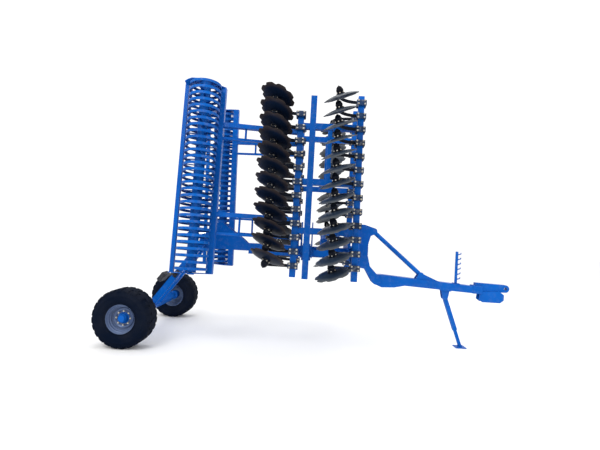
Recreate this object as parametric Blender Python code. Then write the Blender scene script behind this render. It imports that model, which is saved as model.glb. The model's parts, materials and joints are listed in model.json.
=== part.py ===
"""Trailed folding disc harrow with both wings folded up for the road.

Metres, +Z up, +X towards the hitch, +Y to the machine's left. The origin is on the floor under the
middle of the machine. Each wing is modelled lying down, in its working position, in the frame of its
own fold pivot: x along the machine, u outwards from the hinge, w upwards. The pivot then stands it up.
"""
import math

import bmesh
import bpy
from mathutils import Matrix, Vector

# ---------------------------------------------------------------- fits
GAP = 0.0003            # between pieces that rest on each other
RUNNING = 0.006         # beside pieces that move past each other
PIN_FIT = 0.0004        # round a pin in its hole, at the middle of the hole's flats
PIN_SIDES = 12
SINK = 0.004            # how deep welded solids reach into each other

# ---------------------------------------------------------------- wheels and transport axle
TYRE_RADIUS = 0.437
TYRE_WIDTH = 0.404
RIM_RADIUS = 0.205
RIM_WIDTH = 0.33
WHEEL_SIDES = 24
TRACK = 2.30
AXLE_X = -2.86
AXLE_BEAM = 0.12
STUB_RADIUS = 0.045
ARM_SIZE = 0.10
LIFT_X = -2.03
LIFT_Z = 1.55
LIFT_PIN = 0.040
CRANK = (-0.298, -0.035)    # rod pin on the arms, in the frame of the arms

# ---------------------------------------------------------------- main beam, boom, headstock
BEAM_HALF = 0.10
BEAM_BOTTOM = 1.42
BEAM_TOP = 1.60
FRAME_FRONT = 0.66
BOOM_FRONT = -1.23
BOOM_HALF = 0.08
BOOM_BOTTOM = 1.48
PLATE = 0.02
LIFT_CYLINDER_PIN = (-1.62, 1.78)

# ---------------------------------------------------------------- wing fold
HINGE_Y = 0.45
HINGE_Z = 1.50
HINGE_PIN = 0.030
HINGE_BOSS = 0.080
FOLD_ANGLE = math.radians(95)
TOWER_TOP = 2.02

# ---------------------------------------------------------------- wing beams
TUBE = 0.10
TUBE_W = -0.19
FRONT_X = 0.55
REAR_X = -0.43
MID_X = -0.23
FRONT_SPAN = (-0.42, 2.63)
REAR_SPAN = (-0.40, 2.30)
MID_SPAN = (-0.42, 2.60)
CROSS_U = {"inner": 0.35, "mid": 1.15, "outer": 2.08}
BRACE_X = 0.06

# ---------------------------------------------------------------- discs
DISC_RADIUS = 0.28
DISC_DEPTH = 0.045
DISC_THICK = 0.008
DISC_TEETH = 8
NOTCH_DEPTH = 0.035
DISC_PITCH = 0.226
DISC_ANGLE = math.radians(20)
DISC_TILT = math.radians(16)    # the hollow side looks up, so that the disc cuts under the soil
DISC_TRAIL = 0.40
DISC_CLEAR = 0.20
HUB_RADIUS = 0.050
HUB_LENGTH = 0.13
FRONT_DISCS = 13
REAR_DISCS = 12
FRONT_FIRST_U = -0.21
REAR_FIRST_U = -0.22
ARM_WIDTH = 0.05
ARM_SHIFT = 0.02             # towards the hub side, clear of the disc's rim

# ---------------------------------------------------------------- cage roller
ROLLER_X = -1.94
ROLLER_W = -0.60
ROLLER_RADIUS = 0.243
ROLLER_CORE = 0.08
ROLLER_SHAFT = 0.025
ROLLER_SPAN = (-0.405, 2.57)
HOOP_INSET = 0.035          # from the end plates' inner faces to the first and last hoop
HOOPS = 30
HOOP_WIDTH = 0.04
HOOP_SIDES = 10
ROLLER_FRONT_X = -1.71
ROLLER_FRONT_W = -0.37
ROLLER_REAR_X = -2.26
ROLLER_REAR_W = -0.50
ROLLER_BEAM = 0.10
ROLLER_REAR_BEAM = 0.06
END_PLATE = 0.012
END_PLATE_DROP = 0.12       # how far the end plates reach below the roller's axis
LINK_U = {"lower": (0.22, 0.52), "upper": (1.76, 1.97)}
THIN_LINK = (0.02, 0.05)    # half width and height
THICK_LINK = (0.035, 0.09)
LINK_TOP = 0.035            # above the wing beams' middle

# ---------------------------------------------------------------- fold and lift cylinders
FOLD_LUG = (0.35, 0.10)
FOLD_BASE_Y = 0.38
FOLD_BASE_Z = 1.70
FOLD_CYLINDER_X = {"left": 0.05, "right": 0.25}
RAIL_HALF = 0.04
RAIL_SPAN = (1.46, 1.56)
EYE_WIDTH = 0.060
EYE_RADIUS = 0.038
EYE_PIN = 0.018
ROD_RADIUS = 0.025
BARREL_RADIUS = 0.045
BARREL_START = 0.062        # from the base pin, so that the barrel swings clear of its lugs

# ---------------------------------------------------------------- drawbar, hitch, jack
DRAWBAR_HALF = 0.08
DRAWBAR_PIVOT = (1.006, 1.08)
DRAWBAR_FRONT = 2.67
DRAWBAR_TOP = (1.185, 1.075)    # at its rear and front ends
DRAWBAR_BOTTOM = (1.015, 0.955)
BELLY_END = 1.50
DRAWBAR_PIN = 0.028
HEAD_PIN = 0.022
HEAD_EAR = (0.925, 1.925)
TIE_FRONT = (1.776, 1.215)
TIE_RADIUS = 0.038
COMB_X = 2.405
EYE_REACH = 0.562           # from the drawbar's front face to the tow eye
EYE_Z = 1.055
EYE_ROUND = 0.065
JACK_PIVOT = (2.21, 0.86)
JACK_LEAN = math.radians(20)
JACK_TUBE = 0.07
JACK_PIN = 0.016

PAINT = ("blue_paint", (0.006, 0.085, 0.42), 0.32, 0.0)
DARK_STEEL = ("dark_steel", (0.025, 0.030, 0.045), 0.38, 0.8)
RUBBER = ("tyre_rubber", (0.018, 0.018, 0.019), 0.85, 0.0)
SILVER = ("silver_rim", (0.52, 0.53, 0.55), 0.35, 0.6)
CHROME = ("chrome_rod", (0.75, 0.76, 0.78), 0.12, 1.0)
BLACK = ("black_plastic", (0.03, 0.03, 0.03), 0.55, 0.0)

SIDES = {"left": 1, "right": -1}


# ---------------------------------------------------------------- solids
def prism(outline, plane, start, end):
    """An outline in the XZ, YZ or XY plane, extruded from start to end along the third axis."""
    place = {
        "XZ": lambda a, b: (a, start, b),
        "YZ": lambda a, b: (start, a, b),
        "XY": lambda a, b: (a, b, start),
    }[plane]
    along = {"XZ": Vector((0, 1, 0)), "YZ": Vector((1, 0, 0)), "XY": Vector((0, 0, 1))}[plane]
    bm = bmesh.new()
    face = bm.faces.new([bm.verts.new(place(a, b)) for a, b in outline])
    result = bmesh.ops.extrude_face_region(bm, geom=[face])
    moved = [item for item in result["geom"] if isinstance(item, bmesh.types.BMVert)]
    bmesh.ops.translate(bm, verts=moved, vec=along * (end - start))
    bmesh.ops.recalc_face_normals(bm, faces=bm.faces)
    return bm


def box(low, high):
    """A block between two corners."""
    bm = bmesh.new()
    bmesh.ops.create_cube(bm, size=1.0)
    size = Vector(high) - Vector(low)
    middle = (Vector(high) + Vector(low)) / 2
    bmesh.ops.scale(bm, vec=size, verts=bm.verts)
    bmesh.ops.translate(bm, vec=middle, verts=bm.verts)
    return bm


def rod(start, end, radius, sides=PIN_SIDES, end_radius=None, twist=0.0):
    """A round bar between two points, with flat ends."""
    start, end = Vector(start), Vector(end)
    bm = bmesh.new()
    bmesh.ops.create_cone(bm, cap_ends=True, segments=sides, radius1=radius,
                          radius2=radius if end_radius is None else end_radius,
                          depth=(end - start).length)
    turn = (end - start).to_track_quat("Z", "Y").to_matrix().to_4x4() @ Matrix.Rotation(twist, 4, "Z")
    bmesh.ops.transform(bm, matrix=Matrix.Translation((start + end) / 2) @ turn, verts=bm.verts)
    return bm


def pin(start, end, radius):
    """A round pin whose edges point at the flats of the hole it lies in."""
    return rod(start, end, radius, twist=math.pi / PIN_SIDES)


def bore(start, end, pin_radius):
    """A cutter for the hole in which a pin can turn."""
    return rod(start, end, (pin_radius + PIN_FIT) / math.cos(math.pi / PIN_SIDES))


def turned(profile, sides):
    """A closed profile of (radius, y) points, turned about the Y axis."""
    bm = bmesh.new()
    points = [bm.verts.new((radius, y, 0)) for radius, y in profile]
    edges = [bm.edges.new((a, b)) for a, b in zip(points, points[1:] + points[:1])]
    bmesh.ops.spin(bm, geom=points + edges, cent=(0, 0, 0), axis=(0, 1, 0),
                   angle=math.tau, steps=sides, use_duplicate=False)
    bmesh.ops.remove_doubles(bm, verts=bm.verts, dist=0.0001)
    bmesh.ops.recalc_face_normals(bm, faces=bm.faces)
    return bm


def arc(centre, radius, start, end, steps):
    """Points on an arc, angles in degrees."""
    angles = [math.radians(start + (end - start) * step / steps) for step in range(steps + 1)]
    return [(centre[0] + radius * math.cos(a), centre[1] + radius * math.sin(a)) for a in angles]


def thick_path(points, thickness):
    """The outline of a flat bar that follows points in a plane."""
    points = [Vector(point) for point in points]
    left, right = [], []
    for index, point in enumerate(points):
        before = point - points[index - 1] if index else points[1] - point
        after = points[index + 1] - point if index < len(points) - 1 else before
        normal = (before.normalized() + after.normalized()).normalized().orthogonal()
        stretch = 1 / max(0.5, normal.dot(after.normalized().orthogonal()))
        left.append(tuple(point + normal * thickness / 2 * stretch))
        right.append(tuple(point - normal * thickness / 2 * stretch))
    return left + right[::-1]


def join(solids):
    """Solids that don't touch, as one mesh."""
    joined = bmesh.new()
    for solid in solids:
        mesh = bpy.data.meshes.new("loose")
        solid.to_mesh(mesh)
        joined.from_mesh(mesh)
        bpy.data.meshes.remove(mesh)
    return joined


def moved(solid, matrix):
    """A moved copy, turned right side out again if the matrix mirrors it."""
    copy = solid.copy()
    bmesh.ops.transform(copy, matrix=matrix, verts=copy.verts)
    if matrix.determinant() < 0:
        bmesh.ops.reverse_faces(copy, faces=copy.faces)
    return copy


def weld(solids, cuts=()):
    """Overlapping solids joined by exact Booleans, less the cutters."""
    def helper(solid):
        mesh = bpy.data.meshes.new("helper")
        solid.to_mesh(mesh)
        thing = bpy.data.objects.new("helper", mesh)
        bpy.context.collection.objects.link(thing)
        return thing

    body = helper(solids[0])
    helpers = [body]
    for operation, tools in (("UNION", solids[1:]), ("DIFFERENCE", cuts)):
        for tool in tools:
            helpers.append(helper(tool))
            modifier = body.modifiers.new(operation, "BOOLEAN")
            modifier.operation = operation
            modifier.object = helpers[-1]
    evaluated = body.evaluated_get(bpy.context.evaluated_depsgraph_get())
    mesh = bpy.data.meshes.new_from_object(evaluated)
    result = bmesh.new()
    result.from_mesh(mesh)
    for thing in helpers:
        bpy.data.objects.remove(thing)
    bpy.data.meshes.remove(mesh)
    return result


# ---------------------------------------------------------------- scene objects
def material(finish):
    name, colour, roughness, metallic = finish
    if name in bpy.data.materials:
        return bpy.data.materials[name]
    made = bpy.data.materials.new(name)
    made.use_nodes = True
    shader = made.node_tree.nodes["Principled BSDF"]
    shader.inputs["Base Color"].default_value = (*colour, 1)
    shader.inputs["Roughness"].default_value = roughness
    shader.inputs["Metallic"].default_value = metallic
    return made


def piece(name, solid, finish, parent=None, location=(0, 0, 0)):
    """One named object in its parent's frame; its mesh is drawn round its own origin."""
    mesh = bpy.data.meshes.new(name)
    solid.to_mesh(mesh)
    mesh.shade_smooth()
    mesh.set_sharp_from_angle(angle=math.radians(32))
    mesh.materials.append(material(finish))
    thing = bpy.data.objects.new(name, mesh)
    thing.location = location
    thing.parent = parent
    bpy.context.collection.objects.link(thing)
    return thing


def pivot(name, location, rotation=(0, 0, 0), parent=None):
    """An empty on a joint's axis."""
    empty = bpy.data.objects.new(name, None)
    empty.location = location
    empty.rotation_euler = rotation
    empty.parent = parent
    bpy.context.collection.objects.link(empty)
    return empty


def mirrored(solid, side):
    """The right side's copy of a solid drawn for the left."""
    return moved(solid, Matrix.Diagonal((1, SIDES[side], 1, 1)))


# ---------------------------------------------------------------- centre frame
def rail_lugs(side):
    """The two plates and the pin that hold the far end of one wing's fold cylinder."""
    middle = FOLD_CYLINDER_X[side]
    y = -SIDES[side] * FOLD_BASE_Y
    top = arc((y, FOLD_BASE_Z), 0.045, 0, 180, 6)
    outline = [(y + 0.045, RAIL_SPAN[1] - SINK)] + top + [(y - 0.045, RAIL_SPAN[1] - SINK)]
    inner = EYE_WIDTH / 2 + RUNNING
    plates = [prism(outline, "YZ", middle + way * inner, middle + way * (inner + PLATE)) for way in (-1, 1)]
    reach = inner + PLATE - SINK
    return plates + [pin((middle - reach, y, FOLD_BASE_Z), (middle + reach, y, FOLD_BASE_Z), EYE_PIN)]


def hinge_stations():
    """Middle of each hinge along the machine, and half the space between its plates."""
    return {"front": FRONT_X, "rear": MID_X}, TUBE / 2 + 0.03


def main_frame():
    half = BEAM_HALF
    beam = box((BOOM_FRONT, -half, BEAM_BOTTOM), (FRAME_FRONT, half, BEAM_TOP))
    lobe = arc((HINGE_Y, HINGE_Z), HINGE_BOSS, -90, 60, 4)
    right_half = [(0, BEAM_BOTTOM)] + lobe + [(0.16, TOWER_TOP - 0.06), (0.12, TOWER_TOP)]
    outline = right_half + [(-y, z) for y, z in reversed(right_half) if y > 0]
    stations, space = hinge_stations()
    plates = []
    edges = []
    for middle in stations.values():
        for start in (middle - space - PLATE, middle + space):
            plates.append(prism(outline, "YZ", start, start + PLATE))
            edges.append(start)
    rail_start = stations["rear"] + space + PLATE - SINK
    rail_end = stations["front"] - space - PLATE + SINK
    rails = [box((rail_start, way * FOLD_BASE_Y - RAIL_HALF, RAIL_SPAN[0]),
                 (rail_end, way * FOLD_BASE_Y + RAIL_HALF, RAIL_SPAN[1])) for way in (-1, 1)]
    lugs = [lug for side in SIDES for lug in rail_lugs(side)]
    holes = [bore((min(edges) - 0.1, way * HINGE_Y, HINGE_Z), (max(edges) + 0.1, way * HINGE_Y, HINGE_Z),
                  HINGE_PIN) for way in (-1, 1)]
    piece("main_frame", weld([beam] + plates + rails + lugs, holes), PAINT)


def rear_boom():
    half = BOOM_HALF
    front = BOOM_FRONT - GAP
    end = LIFT_X - 0.07
    boom = box((end, -half, BOOM_BOTTOM), (front, half, BEAM_TOP))
    pin_x, pin_z = LIFT_CYLINDER_PIN
    outline = [(front, BOOM_BOTTOM - 0.01), (front, 1.575), (-1.33, 1.665), (pin_x - 0.11, 1.95),
               (pin_x - 0.21, 1.93), (LIFT_X + 0.03, 1.72), (end, 1.62), (end, BOOM_BOTTOM - 0.01)]
    gussets = [prism(outline, "XZ", way * half, way * (half + PLATE)) for way in (-1, 1)]
    gussets = [moved(plate, Matrix.Translation((0, -SINK * way, 0))) for way, plate in zip((-1, 1), gussets)]
    cross = pin((pin_x, -half - SINK, pin_z), (pin_x, half + SINK, pin_z), EYE_PIN)
    hole = bore((LIFT_X, -1, LIFT_Z), (LIFT_X, 1, LIFT_Z), LIFT_PIN)
    piece("rear_boom", weld([boom] + gussets + [cross], [hole]), PAINT)


def headstock():
    back = FRAME_FRONT + GAP
    ear_x, ear_z = HEAD_EAR
    low_x, low_z = DRAWBAR_PIVOT
    outline = [(back, 1.29), (0.80, 1.27), (low_x - 0.07, low_z - 0.04)]
    outline += arc(DRAWBAR_PIVOT, 0.075, 210, 395, 6)
    outline += [(0.88, 1.32), (0.835, 1.50), (0.835, 1.70), (0.87, 1.84)]
    outline += arc(HEAD_EAR, 0.055, -60, 90, 5) + [(back + 0.10, TOWER_TOP + 0.01), (back, TOWER_TOP + 0.01)]
    inner = DRAWBAR_HALF + RUNNING
    plates = [prism(outline, "XZ", way * inner, way * (inner + PLATE)) for way in (-1, 1)]
    core = box((back, -inner - SINK, BEAM_BOTTOM), (back + 0.12, inner + SINK, BEAM_TOP))
    pins = [pin((x, -inner - SINK, z), (x, inner + SINK, z), radius)
            for x, z, radius in ((ear_x, ear_z, HEAD_PIN), (low_x, low_z, DRAWBAR_PIN))]
    piece("headstock", weld([core] + plates + pins), PAINT)


# ---------------------------------------------------------------- drawbar and hitch
def between(x, start, end, heights):
    """Height at x of a straight edge between two ends."""
    return heights[0] + (x - start) / (end - start) * (heights[1] - heights[0])


def drawbar_top(x):
    """Height of the drawbar's sloping top face."""
    return between(x, DRAWBAR_PIVOT[0] + 0.10, DRAWBAR_FRONT, DRAWBAR_TOP)


def drawbar_bottom(x):
    """Height of the underside ahead of the deep belly."""
    return between(x, BELLY_END, DRAWBAR_FRONT, DRAWBAR_BOTTOM)


def drawbar():
    half = DRAWBAR_HALF
    low_x, low_z = DRAWBAR_PIVOT
    front = DRAWBAR_FRONT
    rear = low_x + 0.10
    outline = [(low_x - 0.05, low_z + 0.10), (low_x - 0.06, low_z - 0.05), (1.10, 0.965), (1.32, 0.975),
               (BELLY_END, drawbar_bottom(BELLY_END)), (front, drawbar_bottom(front)),
               (front, drawbar_top(front)), (rear, drawbar_top(rear))]
    bar = prism(outline, "XZ", -half, half)
    tie_x, tie_z = TIE_FRONT
    ears = [(tie_x - 0.12, 1.10)] + arc(TIE_FRONT, 0.045, 170, 20, 5) + [(2.12, 1.105), (2.12, 1.09)]
    inner = TIE_RADIUS + 0.012
    plates = [prism(ears, "XZ", way * inner, way * (inner + 0.016)) for way in (-1, 1)]
    cross = pin((tie_x, -inner - SINK, tie_z), (tie_x, inner + SINK, tie_z), HEAD_PIN)
    hole = bore((low_x, -1, low_z), (low_x, 1, low_z), DRAWBAR_PIN)
    piece("drawbar", weld([bar] + plates + [cross], [hole]), PAINT)


def drawbar_tie_rod():
    start, end = Vector((HEAD_EAR[0], 0, HEAD_EAR[1])), Vector((TIE_FRONT[0], 0, TIE_FRONT[1]))
    along = (end - start).normalized()
    tube = rod(start + along * 0.04, end - along * 0.04, TIE_RADIUS)
    half = TIE_RADIUS + 0.005
    eyes = [rod(point - Vector((0, half, 0)), point + Vector((0, half, 0)), 0.043) for point in (start, end)]
    bores = [bore((x, -1, z), (x, 1, z), HEAD_PIN) for x, z in (HEAD_EAR, TIE_FRONT)]
    piece("drawbar_tie_rod", weld([tube] + eyes, bores), PAINT)


def tow_yoke():
    rear = DRAWBAR_FRONT + GAP
    eye_x = DRAWBAR_FRONT + EYE_REACH
    nose = arc((eye_x, EYE_Z), EYE_ROUND, -80, 80, 8)
    tongue = prism([(rear + 0.05, 0.985)] + nose + [(rear + 0.05, 1.135)], "XZ", -0.05, 0.05)
    socket = box((rear, -0.085, 0.95), (rear + 0.16, 0.085, 1.09))
    jaw = [(0.13, 0.985), (0.11, 0.85), (0.17, 0.81), (0.47, 0.81), (0.53, 0.86), (0.53, 0.95), (0.45, 1.01)]
    jaw = [(DRAWBAR_FRONT + x, z) for x, z in jaw]
    plates = [prism(jaw, "XZ", way * 0.048, way * 0.075) for way in (-1, 1)]
    floor = box((DRAWBAR_FRONT + 0.19, -0.06, 0.83), (DRAWBAR_FRONT + 0.45, 0.06, 0.86))
    hole = rod((eye_x, -1, EYE_Z), (eye_x, 1, EYE_Z), 0.028)
    piece("tow_yoke", weld([socket, tongue] + plates + [floor], [hole]), PAINT)


def hose_comb():
    foot_z = drawbar_top(COMB_X)
    height = 0.56
    pitch = 0.085
    half = 0.006
    foot_start, foot_end = COMB_X - 0.06, COMB_X + 0.05
    sole = [(x, drawbar_top(x) + GAP) for x in (foot_start, foot_end)]
    foot = prism(sole + [(x, z + 0.012) for x, z in reversed(sole)], "XZ", -0.05, 0.05)
    outline = [(COMB_X - 0.035, foot_z + 0.008), (COMB_X + 0.010, foot_z + 0.008)]
    for hook in range(6):
        base = foot_z + 0.07 + pitch * hook
        hook_outline = [(0.010, 0), (0.060, 0.018), (0.064, 0.046), (0.052, 0.046), (0.050, 0.030),
                        (0.010, 0.020)]
        outline += [(COMB_X + x, base + z) for x, z in hook_outline]
    outline += [(COMB_X + 0.010, foot_z + height), (COMB_X - 0.035, foot_z + height)]
    plate = prism(outline, "XZ", -half, half)
    piece("hose_comb", weld([plate, foot]), PAINT)


def jack():
    px, pz = JACK_PIVOT
    inner = JACK_TUBE / 2 + RUNNING
    sole = [(x, drawbar_bottom(x) - GAP) for x in (px - 0.09, px + 0.09)]
    cap = prism(sole + [(x, z - 0.012) for x, z in reversed(sole)], "XZ", -DRAWBAR_HALF, DRAWBAR_HALF)
    top = sole[1][1] - SINK
    cheek = [(px - 0.07, top)] + arc(JACK_PIVOT, 0.05, 180, 360, 6) + [(px + 0.07, top)]
    plates = [prism(cheek, "XZ", way * inner, way * (inner + 0.012)) for way in (-1, 1)]
    cross = pin((px, -inner - SINK, pz), (px, inner + SINK, pz), JACK_PIN)
    piece("jack_bracket", weld([cap] + plates + [cross]), PAINT)

    hub = pivot("jack_pivot", (px, 0, pz))
    length = pz / math.cos(JACK_LEAN)
    half = JACK_TUBE / 2
    lean = Matrix.Rotation(-JACK_LEAN, 4, "Y")
    outer = moved(box((-half, -half, -0.60), (half, half, 0.02)), lean)
    stem = moved(box((-half + 0.01, -half + 0.01, -length + 0.03), (half - 0.01, half - 0.01, -0.58)), lean)
    foot_x = pz * math.tan(JACK_LEAN)
    foot = box((foot_x - 0.10, -0.09, -pz), (foot_x + 0.08, 0.09, -pz + 0.014))
    ankle = rod((foot_x - 0.008, -0.035, -pz + 0.03), (foot_x - 0.008, 0.035, -pz + 0.03), 0.03)
    hole = bore((0, -1, 0), (0, 1, 0), JACK_PIN)
    piece("jack_leg", weld([outer, stem, foot, ankle], [hole]), PAINT, hub)


# ---------------------------------------------------------------- transport axle and wheels
def transport_axle():
    reach = Vector((AXLE_X - LIFT_X, TYRE_RADIUS - LIFT_Z))
    length = reach.length
    tilt = math.atan2(-reach.x, -reach.y)
    lift = pivot("axle_lift_pivot", (LIFT_X, 0, LIFT_Z), (0, tilt, 0))
    half = AXLE_BEAM / 2
    wheel_face = TRACK / 2 - TYRE_WIDTH / 2
    beam = box((-half, -wheel_face + 0.05, -length - half), (half, wheel_face - 0.05, -length + half))
    stub_end = TRACK / 2 - 0.02
    stub = pin((0, -stub_end, -length), (0, stub_end, -length), STUB_RADIUS)
    piece("transport_axle", weld([beam, stub]), PAINT, lift)

    inner = BOOM_HALF + PLATE + RUNNING
    side = ARM_SIZE / 2
    bottom = -length + half + GAP
    arms = [box((-side, min(way * inner, way * (inner + ARM_SIZE)), bottom),
                (side, max(way * inner, way * (inner + ARM_SIZE)), 0.07)) for way in (-1, 1)]
    reach_y = inner + ARM_SIZE + 0.015
    shaft = pin((0, -reach_y, 0), (0, reach_y, 0), LIFT_PIN)
    spacer = rod((-0.08, -inner - 0.02, -0.14), (-0.08, inner + 0.02, -0.14), 0.045, 8)
    brace = box((-0.04, -inner - 0.02, -0.86), (0.04, inner + 0.02, -0.74))
    crank_x, crank_z = CRANK
    outline = [(-0.05, -0.175), (-0.06, -0.11)] + arc(CRANK, 0.045, 80, 260, 6)
    cranks = [prism(outline, "XZ", way * (EYE_WIDTH / 2 + RUNNING),
                    way * (EYE_WIDTH / 2 + RUNNING + 0.016)) for way in (-1, 1)]
    piece("axle_arms", weld([*arms, shaft, spacer, brace, *cranks]), PAINT, lift)

    for name, way in SIDES.items():
        at = inner + ARM_SIZE + GAP
        strip = box((-0.03, at, -0.70), (-0.018, at + 0.50, -0.64))
        foot = box((-0.03, at, -0.74), (0.03, at + 0.012, -0.60))
        panel = box((-0.10, at + 0.26, -0.80), (-0.028, at + 0.50, -0.655))
        piece(name + "_lamp_board", mirrored(weld([foot, strip, panel]), name), BLACK, lift)

        hub = pivot(name + "_wheel_pivot", (0, way * TRACK / 2, -length), (0, -tilt, 0), lift)
        piece(name + "_tyre", tyre(), RUBBER, hub)
        piece(name + "_rim", mirrored(rim(), name), SILVER, hub)
    return lift


def tyre():
    """Carcass with a flat tread, rounded shoulders and a bead that sits on the rim."""
    half = TYRE_WIDTH / 2
    bead = RIM_RADIUS + GAP
    seat = RIM_WIDTH / 2 - 0.012
    outer = [(bead, seat - 0.025), (bead + 0.012, seat), (bead + 0.045, half - 0.03), (bead + 0.11, half),
             (TYRE_RADIUS - 0.075, half - 0.004), (TYRE_RADIUS - 0.025, half - 0.028),
             (TYRE_RADIUS - 0.003, half - 0.065), (TYRE_RADIUS, 0)]
    profile = outer + [(radius, -y) for radius, y in reversed(outer[:-1])]
    return turned(profile, WHEEL_SIDES)


def rim():
    """Drop-centre rim with its dished disc and the hub that the stub axle ends in."""
    half = RIM_WIDTH / 2
    seat = half - 0.012
    r = RIM_RADIUS
    barrel = [(r, seat - 0.002), (r, -seat + 0.002), (r - 0.016, -seat + 0.002), (r - 0.016, 0.03),
              (0.15, 0.055), (0.09, 0.012), (0, 0.012), (0, 0.026),
              (0.085, 0.026), (0.148, 0.071), (r - 0.016, 0.048), (r - 0.016, seat - 0.002)]
    shell = turned_solid(barrel, WHEEL_SIDES)
    hub = rod((0, 0.018, 0), (0, 0.135, 0), 0.075, 12, 0.068)
    back = rod((0, -0.12, 0), (0, 0.020, 0), 0.085, 12)
    hole = bore((0, -1, 0), (0, SINK - 0.02, 0), STUB_RADIUS)
    return weld([shell, hub, back], [hole])


def turned_solid(profile, sides):
    """A turned profile that reaches the axis at its two points of radius 0."""
    bm = bmesh.new()
    points = [bm.verts.new((radius, y, 0)) for radius, y in profile]
    edges = [bm.edges.new((a, b)) for a, b in zip(points, points[1:] + points[:1])
             if a.co.x > 0 or b.co.x > 0]
    bmesh.ops.spin(bm, geom=points + edges, cent=(0, 0, 0), axis=(0, 1, 0),
                   angle=math.tau, steps=sides, use_duplicate=False)
    bmesh.ops.remove_doubles(bm, verts=bm.verts, dist=0.0001)
    bmesh.ops.dissolve_degenerate(bm, edges=bm.edges, dist=0.0001)
    bmesh.ops.recalc_face_normals(bm, faces=bm.faces)
    return bm


# ---------------------------------------------------------------- hydraulic cylinders
def cylinder(name, base, tip, other_length, parent=None):
    """Barrel and rod between two pins; other_length is the pin distance at the far end of the stroke."""
    base, tip = Vector(base), Vector(tip)
    reach = (tip - base).length
    closed = min(reach, other_length)
    mount = pivot(name + "_pivot", base, (tip - base).to_track_quat("X", "Z").to_euler(), parent)
    half = EYE_WIDTH / 2
    gland = closed - 0.075
    body = rod((BARREL_START, 0, 0), (gland, 0, 0), BARREL_RADIUS)
    eye = rod((0, -half, 0), (0, half, 0), EYE_RADIUS)
    neck = box((0.01, -half + 0.006, -0.028), (BARREL_START + 0.015, half - 0.006, 0.028))
    eye_hole = bore((0, -1, 0), (0, 1, 0), EYE_PIN)
    barrel_bottom = BARREL_START + 0.03
    sleeve = rod((barrel_bottom, 0, 0), (gland + 0.1, 0, 0), ROD_RADIUS + 0.0008)
    piece(name + "_barrel", weld([body, neck, eye], [eye_hole, sleeve]), PAINT, mount)

    tail = barrel_bottom + 0.01 + reach - closed
    shaft = rod((tail, 0, 0), (reach - 0.02, 0, 0), ROD_RADIUS)
    rod_eye = rod((reach, -half, 0), (reach, half, 0), EYE_RADIUS - 0.002)
    tip_hole = bore((reach, -1, 0), (reach, 1, 0), EYE_PIN)
    piece(name + "_rod", weld([shaft, rod_eye], [tip_hole]), CHROME, mount)


def turned_length(base, lug, centre, turn, axis):
    """Pin distance once the lug has turned about its centre."""
    spun = Matrix.Rotation(turn, 3, axis) @ (Vector(lug) - Vector(centre)) + Vector(centre)
    return (spun - Vector(base)).length


def axle_cylinder():
    reach = Vector((AXLE_X - LIFT_X, TYRE_RADIUS - LIFT_Z))
    tilt = math.atan2(-reach.x, -reach.y)
    centre = Vector((LIFT_X, 0, LIFT_Z))
    lug = centre + Matrix.Rotation(tilt, 3, "Y") @ Vector((CRANK[0], 0, CRANK[1]))
    base = Vector((LIFT_CYLINDER_PIN[0], 0, LIFT_CYLINDER_PIN[1]))
    cylinder("axle_cylinder", base, lug, turned_length(base, lug, centre, math.radians(50), "Y"))


def fold_cylinder(side):
    way = SIDES[side]
    x = FOLD_CYLINDER_X[side]
    centre = Vector((x, way * HINGE_Y, HINGE_Z))
    turn = Matrix.Rotation(way * FOLD_ANGLE, 3, "X")
    lug = centre + turn @ Vector((0, way * FOLD_LUG[0], FOLD_LUG[1]))
    base = Vector((x, -way * FOLD_BASE_Y, FOLD_BASE_Z))
    cylinder(side + "_fold_cylinder", base, lug, turned_length(base, lug, centre, -way * FOLD_ANGLE, "X"))


# ---------------------------------------------------------------- wings
def disc():
    """A dished, notched disc and its hub about the X axis: rim plane at x = 0, hub towards +x."""
    bm = bmesh.new()

    def ring(x, radii):
        step = math.tau / len(radii)
        return [bm.verts.new((x, radius * math.cos(index * step), radius * math.sin(index * step)))
                for index, radius in enumerate(radii)]

    outline = [DISC_RADIUS, DISC_RADIUS, DISC_RADIUS - NOTCH_DEPTH] * DISC_TEETH
    hollow = [bm.verts.new((DISC_DEPTH, 0, 0))]
    front, back = ring(0, outline), ring(DISC_THICK, outline)
    crown = ring(DISC_DEPTH + DISC_THICK, [HUB_RADIUS] * DISC_TEETH)
    tip = ring(DISC_DEPTH + DISC_THICK + HUB_LENGTH, [HUB_RADIUS] * DISC_TEETH)
    for index in range(len(front)):
        after = (index + 1) % len(front)
        bm.faces.new((front[after], front[index], hollow[0]))
        bm.faces.new((front[index], front[after], back[after], back[index]))
        near, far = index // 3, after // 3
        bm.faces.new((back[index], back[after], crown[near]))
        if near != far:
            bm.faces.new((back[after], crown[far], crown[near]))
            bm.faces.new((crown[near], crown[far], tip[far], tip[near]))
    bm.faces.new(tip)
    bmesh.ops.recalc_face_normals(bm, faces=bm.faces)
    return bm


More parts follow.
